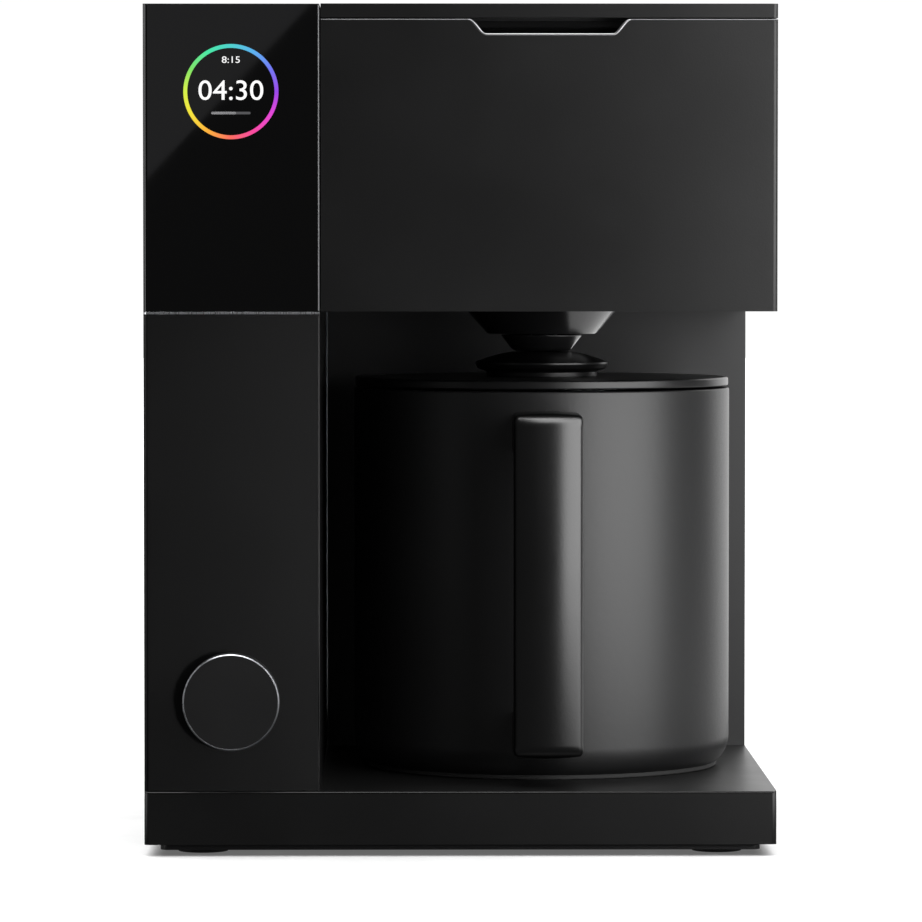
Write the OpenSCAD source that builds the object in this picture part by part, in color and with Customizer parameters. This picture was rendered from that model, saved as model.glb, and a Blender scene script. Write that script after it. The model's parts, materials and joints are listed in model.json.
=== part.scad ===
/* Countertop drip coffee brewer with a thermal carafe.
   +X is to the right, +Y to the back and +Z up, in millimetres.
   The origin is on the table, under the middle of the overall box. */

/* [Overall] */
// Width of the base, from side to side
body_w = 226; // [222:1:230]
// Depth from the front of the knob to the back
overall_d = 238; // [236:1:242]
// Height from the table to the top of the lid
body_h = 304; // [300:1:308]
// Radius of the upright outer corners
corner_r = 1.6; // [1:0.1:3]
// Wall of the moulded covers
wall = 2.5; // [2:0.1:3]
// Thickness of the front panels and the display glass
panel_t = 2; // [1.8:0.1:2.4]
// Seam between neighbouring covers
seam = 0.5; // [0.3:0.1:0.7]

/* [Base] */
// Height of the rubber feet below the bottom plate
foot_h = 1.7; // [1.2:0.1:2.5]
// Radius of a rubber foot
foot_r = 9.5; // [8:0.5:11]
// How far the feet stand in from the sides
foot_in = 20.4; // [18:0.2:24]
// Thickness of the bottom plate
plate_t = 2.4; // [2:0.1:3]
// How far the bottom plate stands in from the sides
plate_in = 5.5; // [4:0.5:8]
// Height of the flat top of the base, where the carafe stands
base_top = 23.2; // [22:0.2:26]

/* [Column] */
// Width of the control column
column_w = 62.7; // [60:0.1:64]
// Height of the metal trim line below the display glass
trim_z = 193.6; // [190:0.2:196]
// Height of the metal trim line itself
trim_h = 0.8; // [0.6:0.1:1.2]

/* [Knob] */
// Radius of the knob
knob_r = 17.2; // [15:0.1:19]
// How far the knob stands proud of the front panel
knob_proud = 12; // [11:0.5:14]
// Height of the knob's axis
knob_z = 56; // [50:1:62]
// Radius of the encoder's shaft
shaft_r = 3; // [2.9:0.1:3.1]
// How far the knob is pressed
press_travel = 0.6; // [0.4:0.1:0.8]

/* [Brew head] */
// Height of the underside of the head
head_bottom = 194.6; // [192:0.2:196]
// Thickness of the lid
lid_t = 5; // [5:0.1:5.4]
// Distance from the brewing axis back to the tower's face
tower_face = 75; // [74:0.5:77]
// Width of the finger notch at the panel's top edge
notch_w = 57.8; // [50:0.2:64]
// Width of each sloping side of the notch
notch_run = 6.5; // [5:0.5:10]
// Depth of the finger notch
notch_d = 5.3; // [4.5:0.1:6]
// Radius of the lid's hinge pins
lid_pin_r = 1.2; // [1:0.1:1.4]

/* [Basket and drip stop] */
// Outer radius of the basket's round wall
basket_r = 61; // [60:0.5:61.5]
// Height of the basket's flat underside
basket_z = 185.2; // [184.8:0.2:185.6]
// Outer radius of the basket's flat underside
basket_foot_r = 20.5; // [19:0.5:22]
// Growth in radius for each millimetre of height on the cone
cone_slope = 0.87; // [0.84:0.005:0.89]
// How far the drip stop moves
drip_travel = 2.8; // [2.4:0.1:3]

/* [Water tank] */
// Height of the underside of the tank
tank_z = 38; // [37:0.5:40]
// Wall of the tank
tank_wall = 2; // [1.8:0.1:2.4]
// Radius of the tank's outlet spout
spout_r = 9.6; // [9:0.1:10]

/* [Carafe] */
// Outer radius of the carafe
carafe_r = 70.4; // [69:0.1:71]
// Height of the top edge of the carafe's body
carafe_top = 165; // [163:0.5:165.5]
// Radius of the round lower edge of the body
carafe_corner = 12; // [10:0.5:13]
// Width of the carafe's handle
handle_w = 25; // [22:0.5:28]
// Height of the handle's lower end
handle_z0 = 34; // [32:0.5:38]
// Height of the handle's upper end
handle_z1 = 158; // [154:0.5:160]
// Thickness of the handle's grip
grip_t = 8; // [7:0.5:10]
// Radius of the grip's rounded front, seen from above
grip_r = 40; // [30:1:60]
// Radius of the handle's arched ends, seen from the front
end_r = 98; // [80:1:120]

/* [Hidden] */

$fn = 96;
fine = 48;
small = 32;
eps = 0.01;
contact = 0.2;
run_gap = 0.05;

// Planes and axes shared by the parts
body_d = overall_d - knob_proud;
front_y = -overall_d / 2 + knob_proud;
back_y = overall_d / 2;
side_x = body_w / 2;
plate_z = foot_h;
pan_z = foot_h + plate_t;
column_x = -side_x + column_w;
column_mid = -side_x + column_w / 2;
head_x = column_x + seam;
brew_x = (head_x + side_x) / 2;
skin_y = front_y + panel_t;
lid_z = body_h - lid_t;
panel_top = lid_z - seam;
lid_axis = [tower_face - seam - lid_t / 2, body_h - lid_t / 2];
deck_z = panel_top - 8.5;
deck_t = wall;
gutter_z = deck_z - 4;
deck_back = 60;
liner_z = lid_z - 2;
dock_xy = [60, 98];
port_xy = [-36, 50];

// Colours
charcoal = "#1b1c1e";
satin_black = "#232426";
dark_grey = "#3a3c40";
steel = "#b9bcc0";
rubber = "#151515";
smoke = "#4a4f55";
board_green = "#1d5a3a";
silicone = "#8c8f92";

/* Shared shapes */

// A box given by its ranges along X, Y and Z
module block(x, y, z)
    translate([x[0], y[0], z[0]])
        cube([x[1] - x[0], y[1] - y[0], z[1] - z[0]]);

// A disc or post about the local axis, between two heights
module disc(r, z0, z1, fn = $fn)
    translate([0, 0, z0])
        cylinder(h = z1 - z0, r = r, $fn = fn);

// A flat ring about the local axis
module ring(r_in, r_out, z0, z1, fn = $fn)
    difference() {
        disc(r_out, z0, z1, fn);
        disc(r_in, z0 - 1, z1 + 1, fn);
    }

// A rod along X, given by its centre in Y and Z
module rod_x(r, x, y, z, fn = fine)
    translate([x[0], y, z])
        rotate([0, 90, 0])
            cylinder(h = x[1] - x[0], r = r, $fn = fn);

// A rod along Y, given by its centre in X and Z
module rod_y(r, y, x, z, fn = fine)
    translate([x, y[0], z])
        rotate([-90, 0, 0])
            cylinder(h = y[1] - y[0], r = r, $fn = fn);

// A rectangle about its centre with round corners
module rounded_rect(w, h, r) {
    square([w, h - 2 * r], center = true);
    square([w - 2 * r, h], center = true);
    for (sx = [-1, 1], sy = [-1, 1])
        translate([sx * (w / 2 - r), sy * (h / 2 - r)])
            circle(r, $fn = fine);
}

// Everything that lies within the machine's rounded outline
module within_outline(z0 = 0, z1 = body_h)
    intersection() {
        children();
        translate([0, (front_y + back_y) / 2, z0])
            linear_extrude(z1 - z0)
                rounded_rect(body_w, body_d, corner_r);
    }

// Four places on the base: the same distance in from the sides, front and back
function corners(x_in, y_in) =
    [for (sx = [-1, 1], y = [front_y + y_in, back_y - y_in]) [sx * (side_x - x_in), y]];

foot_bevel = 0.6;
foot_seat = 0.8;
foot_places = corners(foot_in, foot_in);
screw_places = corners(45, 13);

// Unit vector
function unit(v) = v / norm(v);

// Points of a route whose corners are rounded by a length r
function rounded_route(p, r, n = 5) = [
    for (i = [0:len(p) - 1])
        let (inner = i > 0 && i < len(p) - 1)
        for (k = [0:(inner ? n : 0)])
            inner
                ? let (
                    t = k / n,
                    a = p[i] + r * unit(p[i - 1] - p[i]),
                    c = p[i] + r * unit(p[i + 1] - p[i])
                )
                (1 - t) * (1 - t) * a + 2 * t * (1 - t) * p[i] + t * t * c
                : p[i]
];

// A round tube swept along points; up is a direction that no stretch follows
module sweep(points, r, up = [0.31, 0.53, 0.79], sides = 10) {
    n = len(points);
    rings = [
        for (i = [0:n - 1])
            let (
                t = unit(points[min(i + 1, n - 1)] - points[max(i - 1, 0)]),
                u = unit(cross(t, up)),
                v = cross(t, u)
            )
            for (k = [0:sides - 1])
                points[i] + r * (cos(360 * k / sides) * u + sin(360 * k / sides) * v)
    ];
    walls = [
        for (i = [0:n - 2], k = [0:sides - 1])
            let (m = (k + 1) % sides)
            [i * sides + k, i * sides + m, (i + 1) * sides + m, (i + 1) * sides + k]
    ];
    first = [for (k = [sides - 1:-1:0]) k];
    last = [for (k = [0:sides - 1]) (n - 1) * sides + k];
    polyhedron(points = rings, faces = concat([first], walls, [last]), convexity = 6);
}

// A coil spring standing on its lower end
module coil(r, wire_r, z0, z1, turns) {
    steps = turns * 16;
    rise = z1 - z0 - 2 * wire_r;
    points = [
        for (i = [0:steps])
            let (a = 360 * i / 16)
            [r * cos(a), r * sin(a), z0 + wire_r + rise * i / steps]
    ];
    sweep(points, wire_r, [0, 0, 1], 6);
}

/* Base */

module base_pan() color(charcoal) {
    inner_top = base_top - wall;
    boss_r = 4;
    thread_r = 1.3;
    lip_in = plate_in + 1.5;
    lip_t = 1.5;
    difference() {
        within_outline(pan_z, base_top)
            block([-side_x, side_x], [front_y, back_y], [pan_z, base_top]);
        block([-side_x + wall, side_x - wall], [front_y + wall, back_y - wall], [pan_z + lip_t, inner_top]);
        // Opening within the lip that the bottom plate bears on
        block([-side_x + lip_in, side_x - lip_in], [front_y + lip_in, back_y - lip_in],
            [pan_z - 1, pan_z + 2 * lip_t]);
        // Ways up into the column and the tank dock
        block([column_mid - 12, column_mid + 12], [back_y - 40, back_y - 12], [inner_top - 1, base_top + 1]);
        translate(dock_xy)
            disc(6, inner_top - 1, base_top + 1);
    }
    for (p = screw_places)
        translate(p)
            ring(thread_r, boss_r, pan_z, inner_top, small);
}

module bottom_plate() color(dark_grey)
    difference() {
        translate([0, (front_y + back_y) / 2, plate_z])
            linear_extrude(plate_t)
                rounded_rect(body_w - 2 * plate_in, body_d - 2 * plate_in, 3);
        for (p = foot_places)
            translate(p)
                disc(foot_r + run_gap, plate_z - 1, plate_z + foot_seat);
        for (p = screw_places)
            translate(p) {
                disc(1.7, plate_z - 1, pan_z + 1, small);
                disc(3.2, plate_z - 1, plate_z + 1.6, small);
            }
        // Cooling slots below the column
        for (i = [0:7])
            block([column_mid - 15, column_mid + 15], [-40 + 9 * i, -37 + 9 * i], [plate_z - 1, pan_z + 1]);
    }

module rubber_feet() color(rubber)
    for (p = foot_places)
        translate(p) {
            disc(foot_r, foot_bevel, plate_z + foot_seat);
            cylinder(h = foot_bevel, r1 = foot_r - foot_bevel, r2 = foot_r);
        }

module bottom_screws() color(steel)
    for (p = screw_places)
        translate(p)
            difference() {
                union() {
                    disc(3, plate_z + 0.2, plate_z + 1.6, small);
                    disc(1.25, plate_z + 1.6, pan_z + 10, small);
                }
                disc(1.2, plate_z, plate_z + 0.9, 6);
            }

/* Control column */

column_in = [-side_x + wall, column_x - wall];
inlet_z = 52;
inlet_size = [27, 20];
hot_z = deck_z - 10;

module column_shell() color(charcoal)
    difference() {
        within_outline(base_top)
            block([-side_x, column_x], [skin_y, back_y], [base_top, body_h]);
        block(column_in, [skin_y - 1, back_y - wall], [base_top - 1, body_h - wall]);
        // Power inlet
        translate([column_mid, back_y, inlet_z])
            cube([inlet_size.x, 4 * wall, inlet_size.y], center = true);
        // Cooling slots in the back
        for (i = [0:9])
            block([column_mid - 18, column_mid + 18], [back_y - wall - 1, back_y + 1],
                [150 + 8 * i, 153 + 8 * i]);
        // Way for the hot water tube into the head
        rod_x(5, [column_x - wall - 1, column_x + 1], port_xy.y, hot_z);
    }

module column_front_panel() color(charcoal)
    within_outline()
        difference() {
            block([-side_x, column_x], [front_y, skin_y], [base_top + contact, trim_z - contact]);
            rod_y(3.6, [front_y - 1, skin_y + 1], column_mid, knob_z);
        }

module trim_strip() color(steel)
    within_outline()
        block([-side_x, column_x], [front_y, skin_y], [trim_z, trim_z + trim_h]);

module display_glass() color("#0a0b0d")
    within_outline()
        block([-side_x, column_x], [front_y, skin_y], [trim_z + trim_h + contact, body_h - contact]);

module display_module() color(dark_grey) {
    w = 50;
    y0 = skin_y + contact;
    difference() {
        block([column_mid - w / 2, column_mid + w / 2], [y0, y0 + 4], [226, 296]);
        block([column_mid - w / 2 + 3, column_mid + w / 2 - 3], [y0 - 1, y0 + 1.6], [229, 293]);
    }
    block([column_mid - 10, column_mid + 10], [y0 + 4, y0 + 8], [232, 238]);
}

module control_board() {
    x0 = column_in[0] + 2;
    board_t = 1.6;
    face = x0 + board_t;
    color(board_green)
        block([x0, face], [-92, -12], [96, 188]);
    color(dark_grey) {
        for (i = [0:2])
            block([face, face + 15], [-88 + 24 * i, -70 + 24 * i], [100, 114]);
        block([face, face + 1.4], [-70, -54], [150, 166]);
        block([face, face + 1.4], [-40, -28], [150, 158]);
        block([face, face + 8], [-86, -40], [178, 184]);
    }
    color(silicone)
        for (i = [0:2])
            rod_x(4, [face, face + 12], -30 - 14 * i, 132, small);
}

module inner_frame() color(steel) {
    x1 = column_in[1] - 1.5;
    t = 1.2;
    difference() {
        union() {
            block([x1 - t, x1], [-55, 110], [base_top + 0.8, 262]);
            block([-104, x1], [-55, 80], [base_top + 0.8, base_top + 0.8 + t]);
        }
        for (i = [0:3])
            rod_x(9, [x1 - 5, x1 + 5], -35 + 42 * i, 150, fine);
        // Clear of the hot water tube
        rod_x(6, [x1 - 5, x1 + 5], port_xy.y, hot_z, fine);
    }
}

module power_supply() {
    x0 = column_in[0] + 2;
    face = x0 + 1.6;
    color(board_green)
        block([x0, face], [54, 110], [160, 245]);
    color("#c9a227")
        block([face, face + 24], [60, 90], [200, 228]);
    color(dark_grey) {
        block([face, face + 20], [96, 106], [166, 206]);
        for (i = [0:1])
            rod_x(8, [face, face + 22], 64 + 20 * i, 178, small);
    }
}

pump_x = column_mid;
pump_z = 52;

module water_pump() color(dark_grey) {
    rod_y(17, [-30, 14], pump_x, pump_z);
    rod_y(19, [-50, -30], pump_x, pump_z);
    rod_y(4, [14, 22], pump_x, pump_z, small);
    translate([pump_x, -40])
        disc(4, pump_z + 15, 78, small);
    for (y = [-46, 2])
        block([pump_x - 14, pump_x + 14], [y, y + 8], [base_top + 2, pump_z - 8]);
}

meter_y = 60;
meter_z = 38;

module flow_meter() color(satin_black) {
    translate([pump_x, meter_y])
        disc(13, meter_z - 8, meter_z + 8);
    rod_y(4, [meter_y - 22, meter_y - 12], pump_x, meter_z, small);
    rod_y(4, [meter_y + 12, meter_y + 22], pump_x, meter_z, small);
    block([pump_x - 5, pump_x + 5], [meter_y - 5, meter_y + 5], [meter_z + 8, meter_z + 12]);
}

heater_xy = [-76, 30];
heater_span = [120, 230];

module heater() translate(heater_xy) {
    color(steel) {
        disc(16, heater_span[0], heater_span[1]);
        for (z = [heater_span[0] - 4, heater_span[1]])
            disc(19, z, z + 4);
    }
    color("#b08d57") {
        disc(4, heater_span[0] - 16, heater_span[0] - 4, small);
        disc(4, heater_span[1] + 4, heater_span[1] + 16, small);
        for (sy = [-1, 1])
            translate([0, sy * 11])
                block([-3, 3], [-0.4, 0.4], [heater_span[1] + 4, heater_span[1] + 12]);
    }
}

hose_z = 12.4;

supply_route = [
    [dock_xy.x, dock_xy.y, 19.5],
    [dock_xy.x, dock_xy.y, hose_z],
    [pump_x, dock_xy.y, hose_z],
    [pump_x, dock_xy.y, meter_z],
    [pump_x, meter_y + 22.1, meter_z]
];

pump_route = [
    [pump_x, meter_y - 22.1, meter_z],
    [pump_x, 30, meter_z],
    [pump_x, 30, pump_z],
    [pump_x, 22.1, pump_z]
];

feed_route = [
    [pump_x, -40, 78.1],
    [pump_x, -40, 96],
    [heater_xy.x, heater_xy.y, 96],
    [heater_xy.x, heater_xy.y, heater_span[0] - 16.1]
];

hot_route = [
    [heater_xy.x, heater_xy.y, heater_span[1] + 16.1],
    [heater_xy.x, heater_xy.y, hot_z],
    [heater_xy.x, port_xy.y, hot_z],
    [port_xy.x, port_xy.y, hot_z],
    [port_xy.x, port_xy.y, deck_z + deck_t]
];

module supply_hose() color(silicone)
    sweep(rounded_route(supply_route, 6.5), 4);

module pump_hose() color(silicone)
    sweep(rounded_route(pump_route, 6), 4);

module feed_hose() color(silicone)
    sweep(rounded_route(feed_route, 7), 4);

module hot_water_tube() color(silicone)
    sweep(rounded_route(hot_route, 8), 3.5);

wire_x = column_in[0] + 16;

wire_routes = [
    [[wire_x, -50, 184.2], [wire_x, -50, 205], [column_mid, -92, 235], [column_mid, -96.7, 235]],
    [[wire_x + 4, -60, 114.2], [wire_x + 4, -70, 125], [column_mid - 8, -84, 120],
        [column_mid - 8, -84, 56], [column_mid - 8, -88, 56], [column_mid - 6, -88, 56]],
    [[wire_x, -30, 140.2], [wire_x, -30, 150], [wire_x, 90, 150], [wire_x, 101, 165.8]]
];

module wiring_loom() color("#7a1f1f")
    for (route = wire_routes)
        sweep(rounded_route(route, 1.9, 3), 1.4, sides = 8);

module power_inlet() color(satin_black)
    difference() {
        union() {
            block([column_mid - 13.3, column_mid + 13.3], [back_y - 22, back_y - 0.6],
                [inlet_z - 9.8, inlet_z + 9.8]);
            block([column_mid - 18, column_mid + 18], [back_y - wall - 2.2, back_y - wall - contact],
                [inlet_z - 13, inlet_z + 13]);
        }
        block([column_mid - 11, column_mid + 11], [back_y - 17, back_y + 1], [inlet_z - 7.5, inlet_z + 7.5]);
    }

module inlet_contacts() color("#c9a227")
    for (p = [[-7, 1.5], [0, -2.5], [7, 1.5]])
        block([column_mid + p[0] - 1, column_mid + p[0] + 1], [back_y - 17, back_y - 5],
            [inlet_z + p[1] - 2, inlet_z + p[1] + 2]);

/* Knob and encoder */

switch_y = skin_y + 8;
plunger_r = 4.9;

module encoder_body() color(dark_grey)
    difference() {
        union() {
            block([column_mid - 6.5, column_mid + 6.5], [skin_y + contact, switch_y + 9],
                [knob_z - 6.5, knob_z + 6.5]);
            rod_y(3.5, [front_y - 1, skin_y + contact], column_mid, knob_z);
        }
        rod_y(shaft_r + run_gap, [front_y - 2, switch_y + 1], column_mid, knob_z);
        rod_y(plunger_r + run_gap, [switch_y, switch_y + 8], column_mid, knob_z);
    }

module encoder_nut() color(steel)
    difference() {
        rod_y(5.6, [front_y - 1, front_y], column_mid, knob_z, 6);
        rod_y(3.5, [front_y - 2, front_y + 1], column_mid, knob_z);
    }

module switch_plunger() color(silicone)
    difference() {
        union() {
            rod_y(plunger_r, [switch_y + 0.6, switch_y + 4], column_mid, knob_z);
            rod_y(2, [switch_y + 4, switch_y + 7], column_mid, knob_z);
        }
        rod_y(1.5 + run_gap, [switch_y, switch_y + 3], column_mid, knob_z);
    }

knob_front = front_y - knob_proud;
knob_back = front_y - press_travel - seam;

module encoder_shaft() color(steel) {
    rod_y(shaft_r, [knob_front + 3.5, switch_y + 0.4], column_mid, knob_z);
    rod_y(1.5, [switch_y + 0.4, switch_y + 2.8], column_mid, knob_z);
}

module knob() color(satin_black)
    difference() {
        translate([column_mid, 0, knob_z])
            rotate([90, 0, 0])
                rotate_extrude()
                    polygon([[0, -knob_back], [knob_r - 0.4, -knob_back], [knob_r, -knob_back + 0.4],
                        [knob_r, -knob_front - 0.5], [knob_r - 0.5, -knob_front], [0, -knob_front]]);
        rod_y(shaft_r, [knob_front + 3.5, 0], column_mid, knob_z);
        // Hollow back, clear of the nut and the bushing
        rod_y(7.5, [knob_back - 2.5, 0], column_mid, knob_z);
        difference() {
            rod_y(knob_r - 2.2, [knob_front + 4, 0], column_mid, knob_z);
            rod_y(9.5, [knob_front + 3, 1], column_mid, knob_z);
        }
    }

/* Tower behind the carafe */

tower_back = tower_face + wall;

module tower_shell() color(charcoal)
    within_outline()
        difference() {
            union() {
                block([head_x, side_x], [tower_face, tower_back], [base_top, body_h]);
                block([side_x - wall, side_x], [tower_face, back_y], [base_top, body_h]);
                block([head_x, side_x], [tower_face, back_y], [base_top, base_top + wall]);
                block([head_x, side_x], [back_y - wall, back_y], [base_top, tank_z - 1]);
            }
            translate(dock_xy)
                disc(6, base_top - 1, base_top + wall + 1);
        }

dock_z = base_top + wall;
dock_top = tank_z - 1;
socket_r = spout_r + 0.5;

module tank_dock() color(dark_grey) translate(dock_xy) {
    // Pin that holds the tank's valve open
    disc(1.6, dock_z, dock_z + 3.1, small);
    difference() {
        union() {
            disc(16, dock_z, dock_top);
            disc(5.5, 20, dock_z);
        }
        disc(socket_r, dock_z + 1.5, dock_top + 1);
        difference() {
            disc(3, 19, dock_z + 3);
            // Web that carries the pin
            block([-4, 4], [-0.8, 0.8], [20, dock_z + 1.5]);
        }
    }
}

/* Brew head */

head_in = [head_x + wall, side_x - wall];
head_back = tower_face - contact;

module head_shell() color(charcoal)
    within_outline()
        difference() {
            union() {
                block([head_x, head_in[0]], [skin_y, head_back], [head_bottom, panel_top]);
                block([head_in[1], side_x], [skin_y, head_back], [head_bottom, panel_top]);
                block([head_x, side_x], [skin_y, head_back], [head_bottom, head_bottom + wall]);
                block([head_x, side_x], [head_back - wall, head_back], [head_bottom, gutter_z - contact]);
            }
            translate([brew_x, 0])
                disc(32, head_bottom - 1, head_bottom + wall + 1);
            rod_x(5, [head_x - 1, head_in[0] + 1], port_xy.y, hot_z);
        }

// Half of the notch's outline: a smooth S-curve down from the panel's top edge
function notch_side(s) = [
    for (i = [0:12])
        let (t = i / 12)
        [s * (notch_w / 2 - notch_run * t), -notch_d * (1 - cos(180 * t)) / 2]
];

// Shallow tray behind the notch, for the fingers that lift the lid
scoop_half = 30;
scoop_wall = 1.5;
scoop_back = front_y + 16.3;
scoop_z = [deck_z + deck_t + contact, liner_z - 0.4];

module finger_scoop()
    difference() {
        block([brew_x - scoop_half, brew_x + scoop_half], [skin_y, scoop_back], scoop_z);
        block([brew_x - scoop_half + scoop_wall, brew_x + scoop_half - scoop_wall],
            [skin_y - 1, scoop_back - scoop_wall], [scoop_z[0] + 0.6, scoop_z[1] + 1]);
    }

module head_front_panel() color(charcoal) {
    finger_scoop();
    within_outline()
        difference() {
            block([head_x, side_x], [front_y, skin_y], [head_bottom, panel_top]);
            translate([brew_x, skin_y + 1, panel_top])
                rotate([90, 0, 0])
                    linear_extrude(panel_t + 2)
                        polygon(concat([[-notch_w / 2, 1]], notch_side(-1),
                            [for (i = [12:-1:0]) notch_side(1)[i]], [[notch_w / 2, 1]]));
        }
}

well_r = 66.5;
rim_z = deck_z - 6;

module chamber_liner() color(dark_grey)
    difference() {
        union() {
            block([head_in[0] + contact, head_in[1] - contact], [skin_y + contact, deck_back],
                [deck_z, deck_z + deck_t]);
            block([head_in[0] + contact, head_in[1] - contact], [deck_back - 2, head_back],
                [gutter_z, gutter_z + deck_t]);
            block([head_in[0] + contact, head_in[1] - contact], [deck_back - 2, deck_back],
                [gutter_z, deck_z + deck_t]);
            translate([brew_x, 0])
                disc(well_r, 232, deck_z + 1);
        }
        translate([brew_x, 0]) {
            disc(64.5, rim_z, deck_z + deck_t + 1);
            disc(basket_r + 1.3, 231, rim_z + 1);
        }
        translate(port_xy)
            disc(3.7, gutter_z - 1, deck_z + deck_t + 1);
    }

module port_seal() color(silicone) translate(port_xy)
    difference() {
        disc(6, deck_z + deck_t, liner_z - 0.3);
        disc(2.5, deck_z, liner_z, small);
    }

bracket_x = [head_in[0] + 3.5, head_in[1] - 11.5];
bracket_w = 8;

module hinge_brackets() color(dark_grey)
    difference() {
        for (x = bracket_x) {
            rod_x(lid_t / 2, [x, x + bracket_w], lid_axis[0], lid_axis[1]);
            block([x, x + bracket_w], [lid_axis[0] - lid_t / 2, lid_axis[0] + lid_t / 2],
                [gutter_z + deck_t, lid_axis[1]]);
        }
        rod_x(lid_pin_r, [-side_x, side_x], lid_axis[0], lid_axis[1]);
    }

module lid_hinge_pins() color(steel)
    for (x = bracket_x)
        rod_x(lid_pin_r, [x - 4, x + bracket_w + 4], lid_axis[0], lid_axis[1]);

module lid_panel() color(charcoal)
    difference() {
        within_outline() {
            block([head_x, side_x], [front_y, lid_axis[0]], [lid_z, body_h]);
            rod_x(lid_t / 2, [head_x, side_x], lid_axis[0], lid_axis[1]);
        }
        block(head_in, [front_y + wall, 66], [lid_z - 1, body_h - 2]);
        for (x = bracket_x) {
            block([x - 0.3, x + bracket_w + 0.3], [lid_axis[0] - 3.2, tower_face], [lid_z - 1, body_h + 1]);
            rod_x(lid_pin_r + run_gap, [x - 4.2, x + bracket_w + 4.2], lid_axis[0], lid_axis[1]);
        }
    }

module lid_liner() color(dark_grey) {
    x = [head_in[0] + 0.4, head_in[1] - 0.4];
    y = [front_y + 15, 64];
    top = body_h - 2;
    difference() {
        block(x, y, [liner_z, top]);
        block([x[0] + 2, x[1] - 2], [y[0] + 2, y[1] - 2], [liner_z + 2, top + 1]);
        translate(port_xy)
            disc(2.5, liner_z - 1, liner_z + 3, small);
        translate([brew_x, 0])
            disc(4, liner_z - 1, liner_z + 3, small);
    }
}

shower_r = 35;
shower_z = liner_z - 8;

module shower_head() color(silicone) translate([brew_x, 0])
    difference() {
        disc(shower_r, shower_z, liner_z);
        disc(shower_r - 2, shower_z + 1.6, liner_z - 1.6);
        disc(4, liner_z - 3, liner_z + 1, small);
        for (k = [1:4], i = [0:6 * k - 1])
            rotate(60 * i / k)
                translate([7 * k, 0])
                    disc(0.8, shower_z - 1, shower_z + 3, 16);
    }

module lid_gasket() color(silicone) translate([brew_x, 0])
    ring(66, 69, deck_z + deck_t + 0.4, liner_z);

/* Filter basket and drip stop */

basket_top = rim_z + 2.5;
cone_top = basket_z + (basket_r - basket_foot_r) / cone_slope;
cone_wall = 2.6;
floor_t = 2.5;
stem_r = 4;
cup_floor = 181.2;
cup_z = 178.7;
cup_corner = 3;

module basket_body() color(satin_black) translate([brew_x, 0])
    difference() {
        rotate_extrude()
            polygon([
                [0, basket_z], [basket_foot_r, basket_z], [basket_r, cone_top],
                [basket_r, rim_z], [64, rim_z], [64, basket_top], [basket_r - 2, basket_top],
                [basket_r - 2, cone_top + (cone_wall - 2) / cone_slope],
                [basket_foot_r + floor_t * cone_slope - cone_wall, basket_z + floor_t],
                [0, basket_z + floor_t]
            ]);
        disc(stem_r + run_gap, basket_z - 1, basket_z + floor_t + 1, fine);
        for (i = [0:5])
            rotate(60 * i)
                translate([7.2, 0])
                    disc(1.6, basket_z - 1, basket_z + floor_t + 1, small);
    }

seal_z = basket_z + floor_t + drip_travel + 0.1;

module valve_stem() color(satin_black) translate([brew_x, 0]) {
    disc(stem_r, cup_floor, seal_z + 2.2, fine);
    disc(6, seal_z + 2.2, seal_z + 3.4, fine);
}

module valve_cup() color(satin_black) translate([brew_x, 0])
    difference() {
        rotate_extrude()
            polygon(concat(
                [[0, cup_z]],
                [for (a = [-90:10:-30]) [8.8 + cup_corner * cos(a), cup_z + cup_corner * (1 + sin(a))]],
                [[15.55, basket_z - 0.4], [13.6, basket_z - 0.4], [9.9, cup_floor], [0, cup_floor]]
            ));
        for (i = [0:5])
            rotate(60 * i)
                translate([7, 0])
                    disc(1.4, cup_z - 1, cup_floor + 1, small);
    }

module valve_seal() color(silicone) translate([brew_x, 0])
    ring(stem_r, 10, seal_z, seal_z + 1.6);

module valve_spring() color(steel) translate([brew_x, 0])
    coil(5.4, 0.4, cup_floor + 0.05, basket_z - 0.05, 3);

/* Water tank */

tank_x = [head_x + 0.3, side_x - wall - seam];
tank_y = [tower_back + 0.7, back_y];
tank_rim = body_h - 4.6;
tank_floor = tank_z + 2.5;
tank_lid_r = 2.1;
tank_axis = [back_y - 3, body_h - tank_lid_r];
ear_w = 5;
web_z = tank_z - 5;
spout_bottom = tank_z - 10.5;

module tank_body() color(smoke)
    difference() {
        union() {
            translate([(tank_x[0] + tank_x[1]) / 2, (tank_y[0] + tank_y[1]) / 2, tank_z])
                linear_extrude(tank_rim - tank_z)
                    rounded_rect(tank_x[1] - tank_x[0], tank_y[1] - tank_y[0], 3);
            translate(dock_xy)
                disc(spout_r, spout_bottom, tank_z + 1);
            for (x = [tank_x[0], tank_x[1] - ear_w]) {
                rod_x(tank_lid_r, [x, x + ear_w], tank_axis[0], tank_axis[1]);
                block([x, x + ear_w], [tank_axis[0] - tank_lid_r, tank_axis[0] + tank_lid_r],
                    [tank_rim - 1, tank_axis[1]]);
            }
        }
        translate([(tank_x[0] + tank_x[1]) / 2, (tank_y[0] + tank_y[1]) / 2, tank_floor])
            linear_extrude(tank_rim - tank_floor + eps)
                rounded_rect(tank_x[1] - tank_x[0] - 2 * tank_wall, tank_y[1] - tank_y[0] - 2 * tank_wall, 1);
        translate(dock_xy) {
            disc(6.5, spout_bottom - 1, web_z);
            disc(6.5, web_z + 2, tank_floor + 1);
            disc(2.5 + run_gap, web_z - 1, web_z + 3, small);
            for (i = [0:3])
                rotate(90 * i)
                    translate([4.6, 0])
                        disc(1.2, web_z - 1, web_z + 3, 16);
            ring(spout_r - 1.2, spout_r + 1, tank_z - 6.2, tank_z - 4);
        }
        rod_x(1.2, [tank_x[0] - 1, tank_x[1] + 1], tank_axis[0], tank_axis[1], small);
    }

module tank_seal() color(silicone) translate(dock_xy)
    ring(spout_r - 1.2, socket_r - run_gap, tank_z - 6.1, tank_z - 4.1);

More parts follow.
